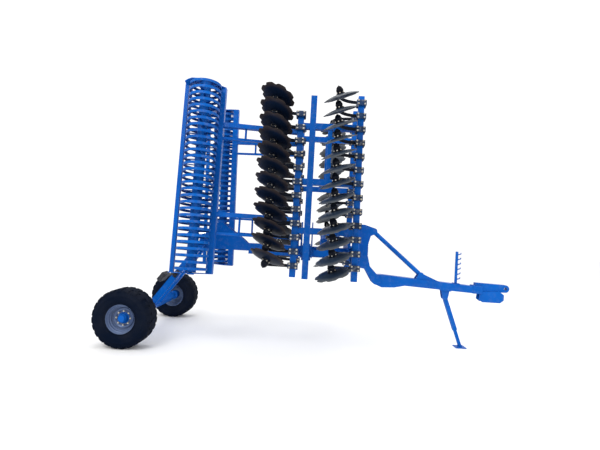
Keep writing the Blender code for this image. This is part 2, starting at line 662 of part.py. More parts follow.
def disc_unit(outward):
    """Disc, hub and curved arm, round the beam's axis at (0, 0); hub side towards outward."""
    drop = TUBE / 2 + DISC_CLEAR + DISC_RADIUS
    normal = Vector((-math.sin(DISC_ANGLE), outward * math.cos(DISC_ANGLE), -math.tan(DISC_TILT))).normalized()
    hub_end = Vector((-DISC_TRAIL, 0, -drop)) + normal * (ARM_SHIFT + ARM_WIDTH * 0.9)
    rim_centre = hub_end - normal * (HUB_LENGTH + DISC_DEPTH + DISC_THICK)
    turn = normal.to_track_quat("X", "Z").to_matrix().to_4x4()
    half = TUBE / 2
    path = [(half - 0.02, SINK - half), (0.10 - DISC_TRAIL, -half - 0.10), (0.02 - DISC_TRAIL, -half - 0.18),
            (-DISC_TRAIL, -drop + 0.16), (-DISC_TRAIL, -drop)]
    shift = outward * ARM_SHIFT
    arm = prism(thick_path(path, 0.024), "XZ", shift - ARM_WIDTH / 2, shift + ARM_WIDTH / 2)
    return weld([arm, moved(disc(), Matrix.Translation(rim_centre) @ turn)])


def gang(side, x, span, count, first, outward, extras=()):
    unit = disc_unit(outward)
    units = join([moved(unit, Matrix.Translation((x, first + DISC_PITCH * index, TUBE_W)))
                  for index in range(count)])
    half = TUBE / 2
    beam = box((x - half, span[0], TUBE_W - half), (x + half, span[1], TUBE_W + half))
    solid = weld([beam, units] + list(extras))
    return mirrored(solid, side)


def cross_tube(side, name, parent):
    u = CROSS_U[name]
    half = TUBE / 2
    low = (MID_X + half + GAP, u - half, TUBE_W - half)
    high = (FRONT_X - half - GAP, u + half, TUBE_W + half)
    solids = [box(low, high)]
    if name == "inner":
        middle = FOLD_CYLINDER_X[side]
        lug_u, lug_w = FOLD_LUG
        base = TUBE_W + half - SINK
        outline = [(u + 0.05, base)] + arc(FOLD_LUG, 0.042, 0, 180, 6) + [(u - 0.05, base)]
        inner = EYE_WIDTH / 2 + RUNNING
        solids += [prism(outline, "YZ", middle + way * inner, middle + way * (inner + PLATE))
                   for way in (-1, 1)]
    if name == "mid":
        end = CROSS_U["outer"] - half - GAP
        solids.append(box((BRACE_X - 0.035, u, TUBE_W - 0.035), (BRACE_X + 0.035, end, TUBE_W + 0.035)))
    solid = weld(solids) if len(solids) > 1 else solids[0]
    piece(side + "_" + name + "_cross_tube", mirrored(solid, side), PAINT, parent)


def hinge_arm(side, name, x, space, parent):
    """Bracket from a beam up to the fold pin, with the pin's two ends."""
    half = space - RUNNING
    base = TUBE_W + TUBE / 2 + GAP
    outline = [(0.12, base), (0.12, base + 0.03)] + arc((0, 0), 0.062, 20, 160, 6)
    outline += [(-0.12, base + 0.03), (-0.12, base)]
    block = prism(outline, "YZ", x - half, x + half)
    reach = space + PLATE + 0.012
    shaft = pin((x - reach, 0, 0), (x + reach, 0, 0), HINGE_PIN)
    piece(side + "_" + name + "_hinge_arm", mirrored(weld([block, shaft]), side), PAINT, parent)


def roller_frame(side, parent):
    """Front and rear beams with an end plate at each end that carries the roller's bearing."""
    start, end = ROLLER_SPAN
    reach_in, reach_out = start - RUNNING - END_PLATE, end + RUNNING + END_PLATE
    half, thin = ROLLER_BEAM / 2, ROLLER_REAR_BEAM / 2
    front = box((ROLLER_FRONT_X - half, reach_in, ROLLER_FRONT_W - half),
                (ROLLER_FRONT_X + half, reach_out, ROLLER_FRONT_W + half))
    rear = box((ROLLER_REAR_X - thin, reach_in, ROLLER_REAR_W - thin),
               (ROLLER_REAR_X + thin, reach_out, ROLLER_REAR_W + thin))
    edge = 0.006            # the plates stop short of the beams' outer faces
    front_x, front_w = ROLLER_FRONT_X + half - edge, ROLLER_FRONT_W
    rear_x, rear_w = ROLLER_REAR_X - thin + edge, ROLLER_REAR_W
    bottom = ROLLER_W - END_PLATE_DROP
    outline = [(front_x, front_w + half - edge), (ROLLER_X + 0.11, front_w + half - edge),
               (rear_x, rear_w + thin - edge), (rear_x, ROLLER_W), (rear_x + 0.07, ROLLER_W - 0.07),
               (ROLLER_X - 0.20, bottom), (ROLLER_X + 0.02, bottom), (ROLLER_X + 0.08, ROLLER_W - 0.085),
               (ROLLER_X + 0.13, ROLLER_W), (ROLLER_X + 0.17, ROLLER_W + 0.09),
               (front_x, front_w - half + edge)]
    plates = [prism(outline, "XZ", u, u + END_PLATE) for u in (reach_in, end + RUNNING)]
    bearings = [rod((ROLLER_X, a, ROLLER_W), (ROLLER_X, b, ROLLER_W), 0.055)
                for a, b in ((reach_in - 0.015, reach_in + 0.004), (reach_out - 0.004, reach_out + 0.015))]
    hole = bore((ROLLER_X, -9, ROLLER_W), (ROLLER_X, 9, ROLLER_W), ROLLER_SHAFT)
    solid = weld([front, rear] + plates + bearings, [hole])
    piece(side + "_roller_frame", mirrored(solid, side), PAINT, parent)


def roller_arm(side, name, parent):
    """A pair of links from the wing's rear beam back to the roller's front beam."""
    back = ROLLER_FRONT_X + ROLLER_BEAM / 2 + GAP
    front = REAR_X - TUBE / 2 - GAP
    thin_u, thick_u = LINK_U[name]
    front_top = TUBE_W + LINK_TOP
    back_top = ROLLER_FRONT_W + ROLLER_BEAM / 2 - 0.005
    solids = []
    for u, (half, height) in ((thin_u, THIN_LINK), (thick_u, THICK_LINK)):
        outline = [(front, front_top), (front, front_top - height), (back + 0.04, back_top - height),
                   (back, back_top - height), (back, back_top), (back + 0.06, back_top)]
        solids.append(prism(outline, "XZ", u - half, u + half))
    share = 0.7             # how far back along the links the cross bar lies
    middle_x = front + share * (back - front)
    middle_w = front_top + share * (back_top - front_top) - 0.5 * THICK_LINK[1]
    solids.append(rod((middle_x, thin_u, middle_w), (middle_x, thick_u, middle_w), 0.018))
    piece(side + "_" + name + "_roller_arm", mirrored(weld(solids), side), PAINT, parent)


def roller(side, parent):
    """Hoops on a core tube with its two stub shafts, turning about its own axis."""
    start, end = ROLLER_SPAN
    hub = pivot(side + "_roller_pivot", (ROLLER_X, 0, ROLLER_W), (0, 0, 0), parent)
    core = rod((0, start + 0.004, 0), (0, end - 0.004, 0), ROLLER_CORE, 8)
    shaft = pin((0, start - RUNNING - END_PLATE - 0.016, 0), (0, end + RUNNING + END_PLATE + 0.016, 0),
                ROLLER_SHAFT)
    first = start + HOOP_INSET
    pitch = (end - HOOP_INSET - HOOP_WIDTH - first) / (HOOPS - 1)
    hoops = join([rod((0, first + pitch * index, 0), (0, first + pitch * index + HOOP_WIDTH, 0),
                      ROLLER_RADIUS, HOOP_SIDES) for index in range(HOOPS)])
    piece(side + "_roller", mirrored(weld([core, shaft, hoops]), side), DARK_STEEL, hub)


def wing(side):
    way = SIDES[side]
    fold = pivot(side + "_fold_pivot", (0, way * HINGE_Y, HINGE_Z), (way * FOLD_ANGLE, 0, 0))
    half = TUBE / 2
    piece(side + "_front_gang",
          gang(side, FRONT_X, FRONT_SPAN, FRONT_DISCS, FRONT_FIRST_U, 1), DARK_STEEL, fold)
    spacers = [box((REAR_X + half - SINK, u - half, TUBE_W - half + 0.01),
                   (MID_X - half - GAP, u + half, TUBE_W + half - 0.01)) for u in CROSS_U.values()]
    piece(side + "_rear_gang",
          gang(side, REAR_X, REAR_SPAN, REAR_DISCS, REAR_FIRST_U, -1, spacers), DARK_STEEL, fold)
    tube = box((MID_X - half, MID_SPAN[0], TUBE_W - half), (MID_X + half, MID_SPAN[1], TUBE_W + half))
    piece(side + "_mid_tube", mirrored(tube, side), PAINT, fold)
    for name in CROSS_U:
        cross_tube(side, name, fold)
    stations, space = hinge_stations()
    for name, x in stations.items():
        hinge_arm(side, name, x, space, fold)
    roller_frame(side, fold)
    for name in LINK_U:
        roller_arm(side, name, fold)
    roller(side, fold)
    fold_cylinder(side)


def build():
    for thing in list(bpy.data.objects):
        bpy.data.objects.remove(thing)
    main_frame()
    rear_boom()
    headstock()
    drawbar()
    drawbar_tie_rod()
    tow_yoke()
    hose_comb()
    jack()
    transport_axle()
    axle_cylinder()
    for side in SIDES:
        wing(side)


build()
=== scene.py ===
# %% [markdown]
# # A trailed disc harrow, folded for the road
#
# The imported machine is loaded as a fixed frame. Its welded steelwork stays as it comes and gets
# real finishes. The gangs, rollers and wheels are modelled again in detail and stand for their
# plain solids.

import json
import math

import bmesh
import bpy
from mathutils import Matrix, Vector


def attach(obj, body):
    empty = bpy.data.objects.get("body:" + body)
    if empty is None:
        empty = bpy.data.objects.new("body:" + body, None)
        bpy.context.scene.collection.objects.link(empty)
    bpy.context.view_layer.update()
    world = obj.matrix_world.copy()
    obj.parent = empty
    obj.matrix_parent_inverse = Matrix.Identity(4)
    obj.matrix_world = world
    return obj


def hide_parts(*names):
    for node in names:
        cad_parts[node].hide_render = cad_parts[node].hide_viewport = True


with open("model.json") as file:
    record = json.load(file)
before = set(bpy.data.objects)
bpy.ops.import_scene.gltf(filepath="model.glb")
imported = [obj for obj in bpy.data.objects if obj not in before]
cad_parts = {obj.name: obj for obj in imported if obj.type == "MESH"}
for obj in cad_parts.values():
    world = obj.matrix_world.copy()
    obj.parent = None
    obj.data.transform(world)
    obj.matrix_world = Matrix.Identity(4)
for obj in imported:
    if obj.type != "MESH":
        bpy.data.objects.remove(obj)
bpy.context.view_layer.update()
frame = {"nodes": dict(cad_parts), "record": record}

# %% [markdown]
# ## Camera
#
# The picture is taken from beside the machine, at head height, with a wide lens, and the camera
# is held a little crooked. A camera looks along its own -Z, so its matrix is built from the
# three directions right, up and back. That is easier to check than three Euler angles.

# %% Camera
CAMERA_PLACE = Vector((-0.193, -7.232, 1.847))
YAW, PITCH, ROLL = (math.radians(angle) for angle in (-1.35, 0.94, 3.15))
FOCAL_SHARE = 411.6 / 600          # focal length over the width of the picture
SENSOR = 36.0

ahead = Vector((math.sin(YAW) * math.cos(PITCH), math.cos(YAW) * math.cos(PITCH), math.sin(PITCH)))
level = Vector((math.cos(YAW), -math.sin(YAW), 0))
upright = level.cross(ahead)
right = level * math.cos(ROLL) + upright * math.sin(ROLL)
up = upright * math.cos(ROLL) - level * math.sin(ROLL)

bpy.ops.object.camera_add()
camera = bpy.context.object
camera.data.sensor_width = SENSOR
camera.data.lens = FOCAL_SHARE * SENSOR
turn = Matrix((right, up, -ahead)).transposed().to_4x4()
camera.matrix_world = Matrix.Translation(CAMERA_PLACE) @ turn
bpy.context.scene.camera = camera
print("lens", round(camera.data.lens, 1), "mm")

# %% [markdown]
# ## Floor and light
#
# A plain pale floor and large soft lamps, as in a studio. Big lamps far from the object give
# soft edges to every shadow, and a white world fills what they leave dark. It is a little
# brighter than the floor needs, so that no horizon shows.

# %% Floor and light
FLOOR_SIZE = 120
FLOOR_GREY = 0.90
WORLD_STRENGTH = 1.12
LAMP_TARGET = Vector((0, 0, 1.6))
LAMPS = {                          # place, size, power
    "key": ((-5.0, -9.0, 9.0), 5.0, 520),
    "fill": ((7.0, -8.0, 4.0), 6.0, 140),
    "top": ((0.5, 1.0, 10.5), 8.0, 240),
    "back": ((2.0, 9.0, 6.0), 7.0, 110),
}


def deselect():
    """Leaves edit mode and selects nothing."""
    if bpy.context.mode != "OBJECT":
        bpy.ops.object.mode_set(mode="OBJECT")
    bpy.ops.object.select_all(action="DESELECT")


deselect()
bpy.ops.mesh.primitive_plane_add(size=FLOOR_SIZE)
floor = bpy.context.object
floor.name = "studio_floor"
floor_paint = bpy.data.materials.new("studio_floor_paint")
floor_paint.use_nodes = True
floor_shader = floor_paint.node_tree.nodes["Principled BSDF"]
floor_shader.inputs["Base Color"].default_value = (FLOOR_GREY, FLOOR_GREY, FLOOR_GREY, 1)
floor_shader.inputs["Roughness"].default_value = 0.9
floor.data.materials.append(floor_paint)

for lamp_name, (place, size, power) in LAMPS.items():
    bpy.ops.object.light_add(type="AREA", location=place)
    lamp = bpy.context.object
    lamp.name = lamp_name + "_lamp"
    lamp.data.size = size
    lamp.data.energy = power
    lamp.rotation_euler = (LAMP_TARGET - Vector(place)).to_track_quat("-Z", "Y").to_euler()

world = bpy.data.worlds.new("studio_white")
bpy.context.scene.world = world
world.use_nodes = True
world.node_tree.nodes["Background"].inputs["Color"].default_value = (1, 1, 1, 1)
world.node_tree.nodes["Background"].inputs["Strength"].default_value = WORLD_STRENGTH
bpy.context.scene.view_settings.view_transform = "Standard"
print(len(LAMPS), "lamps")

# %% [markdown]
# ## Shared effects
#
# Three things happen to every surface on a field machine: dust settles, paint rubs off at
# corners, and the coat is never perfectly flat. Each is a node group, made once, with its
# strength as an input, so a finish is a plain shader plus the groups that it needs.

# %% Helpers for node groups
def new_group(name, inputs, outputs):
    """A shader node group with named sockets, and its input and output nodes."""
    group = bpy.data.node_groups.new(name, "ShaderNodeTree")
    for label, kind, value in inputs:
        socket = group.interface.new_socket(label, in_out="INPUT", socket_type="NodeSocket" + kind)
        if value is not None:
            socket.default_value = value
    for label, kind in outputs:
        group.interface.new_socket(label, in_out="OUTPUT", socket_type="NodeSocket" + kind)
    return group, group.nodes.new("NodeGroupInput"), group.nodes.new("NodeGroupOutput")


def add(tree, kind, **settings):
    """A node of that kind with its settings; a setting named like a socket goes on the socket."""
    node = tree.nodes.new("ShaderNode" + kind)
    for label, value in settings.items():
        if hasattr(node, label):
            setattr(node, label, value)
        else:
            node.inputs[label.replace("_", " ")].default_value = value
    return node


def ramp(tree, source, low, high):
    """0 below low and 1 above high."""
    node = add(tree, "MapRange")
    node.inputs["From Min"].default_value = low
    node.inputs["From Max"].default_value = high
    tree.links.new(source, node.inputs["Value"])
    return node.outputs["Result"]


def combine(tree, operation, first, second):
    """One Math node on two sockets or numbers."""
    node = add(tree, "Math", operation=operation)
    for index, value in enumerate((first, second)):
        if isinstance(value, bpy.types.NodeSocket):
            tree.links.new(value, node.inputs[index])
        else:
            node.inputs[index].default_value = value
    return node.outputs[0]


# %% Dust, edge wear and coat groups
dust, dust_in, dust_out = new_group(
    "field_dust", [("Amount", "Float", 0.3), ("Scale", "Float", 3.0)], [("Mask", "Float")])
place_node = add(dust, "TexCoord")
cloud = add(dust, "TexNoise", Detail=6.0, Roughness=0.65)
dust.links.new(place_node.outputs["Object"], cloud.inputs["Vector"])
dust.links.new(dust_in.outputs["Scale"], cloud.inputs["Scale"])
facing = add(dust, "NewGeometry")
split = add(dust, "SeparateXYZ")
dust.links.new(facing.outputs["Normal"], split.inputs["Vector"])
upward = ramp(dust, split.outputs["Z"], -0.3, 1.0)
patches = ramp(dust, cloud.outputs["Fac"], 0.42, 0.72)
settled = combine(dust, "ADD", combine(dust, "MULTIPLY", upward, 0.7), 0.3)
share = combine(dust, "MULTIPLY", patches, settled)
dust.links.new(combine(dust, "MULTIPLY", share, dust_in.outputs["Amount"]), dust_out.inputs["Mask"])

wear, wear_in, wear_out = new_group(
    "edge_wear", [("Amount", "Float", 0.5), ("Scale", "Float", 14.0)], [("Mask", "Float")])
place_node = add(wear, "TexCoord")
chips = add(wear, "TexNoise", Detail=8.0, Roughness=0.7)
wear.links.new(place_node.outputs["Object"], chips.inputs["Vector"])
wear.links.new(wear_in.outputs["Scale"], chips.inputs["Scale"])
corner = add(wear, "NewGeometry")
sharp = ramp(wear, corner.outputs["Pointiness"], 0.52, 0.60)
rubbed = ramp(wear, chips.outputs["Fac"], 0.50, 0.62)
scratches = ramp(wear, chips.outputs["Fac"], 0.70, 0.74)
both = combine(wear, "MAXIMUM", combine(wear, "MULTIPLY", sharp, rubbed), scratches)
wear.links.new(combine(wear, "MULTIPLY", both, wear_in.outputs["Amount"]), wear_out.inputs["Mask"])

coat, coat_in, coat_out = new_group(
    "coat_ripple", [("Scale", "Float", 180.0), ("Depth", "Float", 0.3)], [("Height", "Float")])
place_node = add(coat, "TexCoord")
ripple = add(coat, "TexNoise", Detail=3.0)
coat.links.new(place_node.outputs["Object"], ripple.inputs["Vector"])
coat.links.new(coat_in.outputs["Scale"], ripple.inputs["Scale"])
coat.links.new(combine(coat, "MULTIPLY", ripple.outputs["Fac"], coat_in.outputs["Depth"]),
               coat_out.inputs["Height"])
print("groups", dust.name, wear.name, coat.name)

# %% [markdown]
# ## Finishes
#
# Every finish starts from the same recipe: a main colour that drifts a little from place to
# place, bare metal or a paler tone where it is worn, and dust over both. What differs is in the
# numbers, so one function builds them all.

# %% Finishes
DUST_COLOUR = (0.30, 0.27, 0.22, 1)
RIM_SHARE = 0.85                   # of the rim's own colour at a disc's edge
ROUGH_DRIFT = 0.12
DUST_ROUGH = 0.5


def mix(tree, share, first, second):
    """A colour mixed by share from first to second, each a colour or a socket."""
    node = add(tree, "Mix", data_type="RGBA")
    tree.links.new(share, node.inputs[0])
    for index, value in ((6, first), (7, second)):
        if isinstance(value, bpy.types.NodeSocket):
            tree.links.new(value, node.inputs[index])
        else:
            node.inputs[index].default_value = value
    return node.outputs[2]


def effect(tree, group, **values):
    node = tree.nodes.new("ShaderNodeGroup")
    node.node_tree = group
    for label, value in values.items():
        node.inputs[label].default_value = value
    return node.outputs[0]


def finish(name, colour, deep, rough, metal=0.0, worn=(0.30, 0.31, 0.33), wear_by=0.5,
           dust_by=0.25, grain=180.0, bump=0.0006, coat_weight=0.0, shine=0.15, rim_colour=None):
    """A material with drift, wear and dust. deep is the second tone of the drift."""
    made = bpy.data.materials.new(name)
    made.use_nodes = True
    tree = made.node_tree
    shader = tree.nodes["Principled BSDF"]
    where = add(tree, "TexCoord")
    drift = add(tree, "TexNoise", Scale=1.7, Detail=4.0)
    tree.links.new(where.outputs["Object"], drift.inputs["Vector"])
    tone = mix(tree, ramp(tree, drift.outputs["Fac"], 0.35, 0.68), (*colour, 1), (*deep, 1))
    if rim_colour:
        rim = add(tree, "Attribute", attribute_name="rim_wear")
        tone = mix(tree, combine(tree, "MULTIPLY", rim.outputs["Fac"], RIM_SHARE), tone,
                   (*rim_colour, 1))
    bare = effect(tree, wear, Amount=wear_by)
    tone = mix(tree, bare, tone, (*worn, 1))
    dusty = effect(tree, dust, Amount=dust_by)
    tree.links.new(mix(tree, dusty, tone, DUST_COLOUR), shader.inputs["Base Color"])
    base = combine(tree, "ADD", combine(tree, "MULTIPLY", drift.outputs["Fac"], ROUGH_DRIFT),
                   rough - ROUGH_DRIFT / 2)
    tree.links.new(combine(tree, "ADD", base, combine(tree, "MULTIPLY", dusty, DUST_ROUGH)),
                   shader.inputs["Roughness"])
    shader.inputs["Metallic"].default_value = metal
    shader.inputs["Coat Weight"].default_value = coat_weight
    shader.inputs["Coat Roughness"].default_value = 0.12
    shader.inputs["Specular IOR Level"].default_value = shine
    skin = add(tree, "Bump", Distance=bump, Strength=0.6)
    tree.links.new(effect(tree, coat, Scale=grain, Depth=0.25), skin.inputs["Height"])
    tree.links.new(skin.outputs["Normal"], shader.inputs["Normal"])
    return made


blue = finish("blue_enamel", (0.001, 0.100, 0.440), (0.001, 0.075, 0.350), 0.36,
              coat_weight=0.04, shine=0.04, wear_by=0.08, dust_by=0.03)
deep_blue = finish("roller_enamel", (0.001, 0.095, 0.400), (0.001, 0.065, 0.300), 0.40,
                   coat_weight=0.02, shine=0.04, wear_by=0.12, dust_by=0.03)
disc_black = finish("disc_lacquer", (0.004, 0.010, 0.028), (0.002, 0.005, 0.014), 0.36,
                    worn=(0.10, 0.08, 0.07), wear_by=0.15, dust_by=0.01, shine=0.03,
                    rim_colour=(0.035, 0.026, 0.022))
disc_grey = finish("disc_steel_grey", (0.028, 0.046, 0.078), (0.006, 0.014, 0.032), 0.34, 0.2,
                   worn=(0.20, 0.18, 0.16), wear_by=0.25, dust_by=0.03, shine=0.06,
                   rim_colour=(0.10, 0.11, 0.12))
arm_black = finish("arm_lacquer", (0.004, 0.007, 0.015), (0.002, 0.003, 0.007), 0.42,
                   dust_by=0.03, wear_by=0.1, shine=0.05)
clamp_steel = finish("clamp_casting", (0.014, 0.045, 0.120), (0.006, 0.016, 0.045), 0.46,
                     dust_by=0.08, grain=90.0, bump=0.0015)
zinc = finish("zinc_plate", (0.58, 0.57, 0.54), (0.42, 0.38, 0.30), 0.28, 0.9,
              worn=(0.30, 0.24, 0.18), dust_by=0.2)
tyre_rubber = finish("tyre_rubber", (0.002, 0.005, 0.014), (0.004, 0.007, 0.016), 0.66,
                     worn=(0.03, 0.03, 0.03), wear_by=0.05, dust_by=0.04, grain=60.0, bump=0.002,
                     shine=0.02)
silver = finish("silver_wheel_paint", (0.13, 0.18, 0.30), (0.05, 0.08, 0.17), 0.34, 0.2,
                wear_by=0.2, dust_by=0.10)
chrome = finish("hard_chrome", (0.78, 0.79, 0.81), (0.70, 0.71, 0.74), 0.12, 1.0, wear_by=0.0,
                dust_by=0.05)
black = finish("black_board", (0.014, 0.018, 0.030), (0.010, 0.012, 0.018), 0.50, wear_by=0.1)
PAINTED = {"blue_paint": blue, "disc_steel": disc_black, "roller_steel": deep_blue,
           "tyre": tyre_rubber, "rim_steel": silver, "chrome_rod": chrome, "black_plastic": black}
for part in frame["record"]["subparts"]:
    node = frame["nodes"][part["node"]]
    node.data.materials.clear()
    node.data.materials.append(PAINTED[part["material_slot"]])
print(len(frame["nodes"]), "nodes painted")

# %% [markdown]
# ## Tools of the workshop
#
# Most of the machine is made of four things: blocks of tube, round bars, bent strips and turned
# parts. Each gets one helper that starts from a primitive and shapes it in edit mode.

# %% Workshop helpers
SIDES = {"left": 1, "right": -1}


def settle(name):
    """Names the new primitive and moves its place into its mesh."""
    made = bpy.context.object
    made.name = name
    made.data.name = name
    bpy.ops.object.transform_apply(location=True, rotation=True, scale=True)
    return made


def soften(piece, width):
    """Rounds the sharp edges."""
    bevel = piece.modifiers.new("rounding", "BEVEL")
    bevel.width = width
    bevel.segments = 2
    bevel.limit_method = "ANGLE"
    bevel.angle_limit = math.radians(40)
    bpy.context.view_layer.objects.active = piece
    bpy.ops.object.modifier_apply(modifier=bevel.name)
    return piece


def block(name, low, high, rounding=0.004):
    """A bar of rectangular section between two corners."""
    deselect()
    middle = (Vector(low) + Vector(high)) / 2
    bpy.ops.mesh.primitive_cube_add(size=1, location=middle, scale=Vector(high) - Vector(low))
    made = settle(name)
    return soften(made, rounding) if rounding else made


def round_bar(name, start, end, radius, sides):
    """A round or six-sided bar between two points."""
    deselect()
    start, end = Vector(start), Vector(end)
    along = end - start
    turn = along.to_track_quat("Z", "Y").to_euler()
    bpy.ops.mesh.primitive_cone_add(vertices=sides, radius1=radius, radius2=radius,
                                    depth=along.length, location=(start + end) / 2, rotation=turn)
    return settle(name)


def line_of(name, points):
    """A chain of edges drawn point by point, left in edit mode with everything selected."""
    deselect()
    bpy.ops.mesh.primitive_plane_add(size=0.01, location=points[0])
    made = settle(name)
    bpy.ops.object.mode_set(mode="EDIT")
    bpy.ops.mesh.select_mode(type="VERT")
    bpy.ops.mesh.select_all(action="SELECT")
    bpy.ops.mesh.merge(type="CENTER")
    for before, after in zip(points, points[1:]):
        step = Vector(after) - Vector(before)
        bpy.ops.mesh.extrude_vertices_move(TRANSFORM_OT_translate={"value": step})
    bpy.ops.mesh.select_all(action="SELECT")
    return made


def close_up():
    """Merges doubles, turns every face outwards and leaves edit mode."""
    bpy.ops.mesh.select_all(action="SELECT")
    bpy.ops.mesh.remove_doubles(threshold=0.0001)
    bpy.ops.mesh.normals_make_consistent(inside=False)
    bpy.ops.object.mode_set(mode="OBJECT")


def strip(name, points, width, thickness):
    """A flat bar bent along points in the XZ plane, width along Y."""
    made = line_of(name, [(x, -width / 2, z) for x, z in points])
    bpy.ops.mesh.extrude_region_move(TRANSFORM_OT_translate={"value": (0, width, 0)})
    close_up()
    wall = made.modifiers.new("wall", "SOLIDIFY")
    wall.thickness = thickness
    wall.offset = 0
    bpy.context.view_layer.objects.active = made
    bpy.ops.object.modifier_apply(modifier=wall.name)
    return soften(made, 0.004)


def turned(name, profile, steps=48):
    """A profile of (radius, y) turned about the Y axis."""
    made = line_of(name, [(radius, y, 0) for radius, y in profile])
    bpy.ops.mesh.spin(steps=steps, angle=math.tau, center=(0, 0, 0), axis=(0, 1, 0))
    close_up()
    return made


def joined(name, pieces):
    """Several pieces as one object."""
    deselect()
    for piece in pieces:
        piece.select_set(True)
    bpy.context.view_layer.objects.active = pieces[0]
    bpy.ops.object.join()
    pieces[0].name = name
    pieces[0].data.name = name
    return pieces[0]


def copy_of(piece, name, place):
    """A copy with its own mesh, moved by a matrix, and turned right side out if that mirrors it."""
    copy = piece.copy()
    copy.data = piece.data.copy()
    copy.data.transform(place)
    if place.determinant() < 0:
        copy.data.flip_normals()
    copy.name = name
    copy.data.name = name
    bpy.context.scene.collection.objects.link(copy)
    return copy


def row_of(piece, name, places):
    """One piece that holds a copy at each place; the first one is removed."""
    copies = [copy_of(piece, name + "_copy", place) for place in places]
    bpy.data.objects.remove(piece)
    return joined(name, copies)


def mount_piece(piece, body, material, replaced=(), smooth=35):
    """Gives a piece its finish and its body, and hides the plain solids that it stands for."""
    deselect()
    piece.select_set(True)
    bpy.context.view_layer.objects.active = piece
    bpy.ops.object.shade_smooth_by_angle(angle=math.radians(smooth))
    piece.data.materials.clear()
    piece.data.materials.append(material)
    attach(piece, body)
    if replaced:
        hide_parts(*replaced)


FOLD = math.radians(95)
HINGE_Y, HINGE_Z = 0.45, 1.50


def stood_up(side):
    """From a wing lying down, x forward, u outwards, w up, to that wing folded."""
    way = SIDES[side]
    turn = Matrix.Translation((0, way * HINGE_Y, HINGE_Z)) @ Matrix.Rotation(way * FOLD, 4, "X")
    return turn @ Matrix.Diagonal((1, way, 1, 1))


def on_wings(piece, name, material, body="wing", replaced=(), smooth=35):
    """One copy of the piece on each wing; the piece drawn lying down is removed."""
    for side in SIDES:
        copy = copy_of(piece, side + "_" + name, stood_up(side))
        nodes = [side + "_" + node for node in replaced]
        mount_piece(copy, side + "_" + body, material, nodes, smooth)
    triangles = sum(len(face.vertices) - 2 for face in piece.data.polygons)
    bpy.data.objects.remove(piece)
    print(name, triangles, "triangles a side")


def at(x, y, z):
    return Matrix.Translation((x, y, z))


# %% [markdown]
# ## Notched discs
#
# A soil disc is a shallow dish of hardened steel with notches round its rim, so that it grips
# and cuts straw. It is drawn from the middle outwards: a small circle, whose rim is extruded
# and scaled ring by ring, each a little lower than the last. The notches come from pulling in
# some vertices of the last ring, and a Solidify modifier gives the sheet its wall.

# %% One disc
DISC_RADIUS, DISC_DEPTH, DISC_WALL = 0.279, 0.045, 0.006
HUB_RADIUS = 0.050
NOTCHES, VERTICES_EACH = 8, 8
NOTCH_PULL = {5: 0.93, 6: 0.875, 7: 0.93}
RINGS = (0.11, 0.16, 0.20, 0.228, DISC_RADIUS)
WEAR_START, WEAR_REACH = 0.20, 0.07    # where the rim starts to wear bright, and over what width


def dish(radius):
    """Height of the dish above its rim at that radius."""
    share = (radius - HUB_RADIUS) / (DISC_RADIUS - HUB_RADIUS)
    return DISC_DEPTH * (1 - share ** 2)


def choose(piece, test):
    """In edit mode, selects the vertices that pass a test on their place."""
    bpy.ops.mesh.select_all(action="DESELECT")
    mesh = bmesh.from_edit_mesh(piece.data)
    for vertex in mesh.verts:
        vertex.select = test(vertex.co)
    mesh.select_flush(True)
    bmesh.update_edit_mesh(piece.data)


def notched_disc():
    deselect()
    bpy.ops.mesh.primitive_circle_add(vertices=NOTCHES * VERTICES_EACH, radius=HUB_RADIUS,
                                      fill_type="NGON", location=(0, 0, DISC_DEPTH))
    made = settle("disc")
    bpy.ops.object.mode_set(mode="EDIT")
    bpy.ops.mesh.select_mode(type="EDGE")
    bpy.ops.mesh.select_all(action="SELECT")
    bpy.ops.mesh.region_to_loop()
    last = HUB_RADIUS
    for radius in RINGS:
        step = (0, 0, dish(radius) - dish(last))
        bpy.ops.mesh.extrude_edges_move(TRANSFORM_OT_translate={"value": step})
        grow = radius / last
        bpy.ops.transform.resize(value=(grow, grow, 1), center_override=(0, 0, 0))
        last = radius
    bpy.ops.mesh.select_mode(type="VERT")
    for number, pull in NOTCH_PULL.items():
        def in_notch(co):
            turn = math.atan2(co.y, co.x) % math.tau / (math.tau / (NOTCHES * VERTICES_EACH))
            return co.to_2d().length > DISC_RADIUS - 0.02 and round(turn) % VERTICES_EACH == number
        choose(made, in_notch)
        bpy.ops.transform.resize(value=(pull, pull, 1), center_override=(0, 0, 0))
    close_up()
    wall = made.modifiers.new("wall", "SOLIDIFY")
    wall.thickness = DISC_WALL
    wall.offset = 0
    bpy.context.view_layer.objects.active = made
    bpy.ops.object.modifier_apply(modifier=wall.name)
    wear_layer = made.data.attributes.new("rim_wear", "FLOAT", "POINT")
    worn = [min(1, max(0, (vertex.co.to_2d().length - WEAR_START) / WEAR_REACH))
            for vertex in made.data.vertices]
    wear_layer.data.foreach_set("value", worn)
    return made


disc = notched_disc()
print("disc", len(disc.data.polygons), "faces")

# %% [markdown]
# ## Gangs
#
# A gang is a square beam with one curved arm, hub and disc at each clamp. The discs stand at an
# angle to the line of travel, the front gang throwing soil inwards and the rear gang back
# outwards, and they lean so that each cuts under the soil. The arms are flat spring bars bent
# in one plane, so each is a line of edges pulled sideways into a strip.

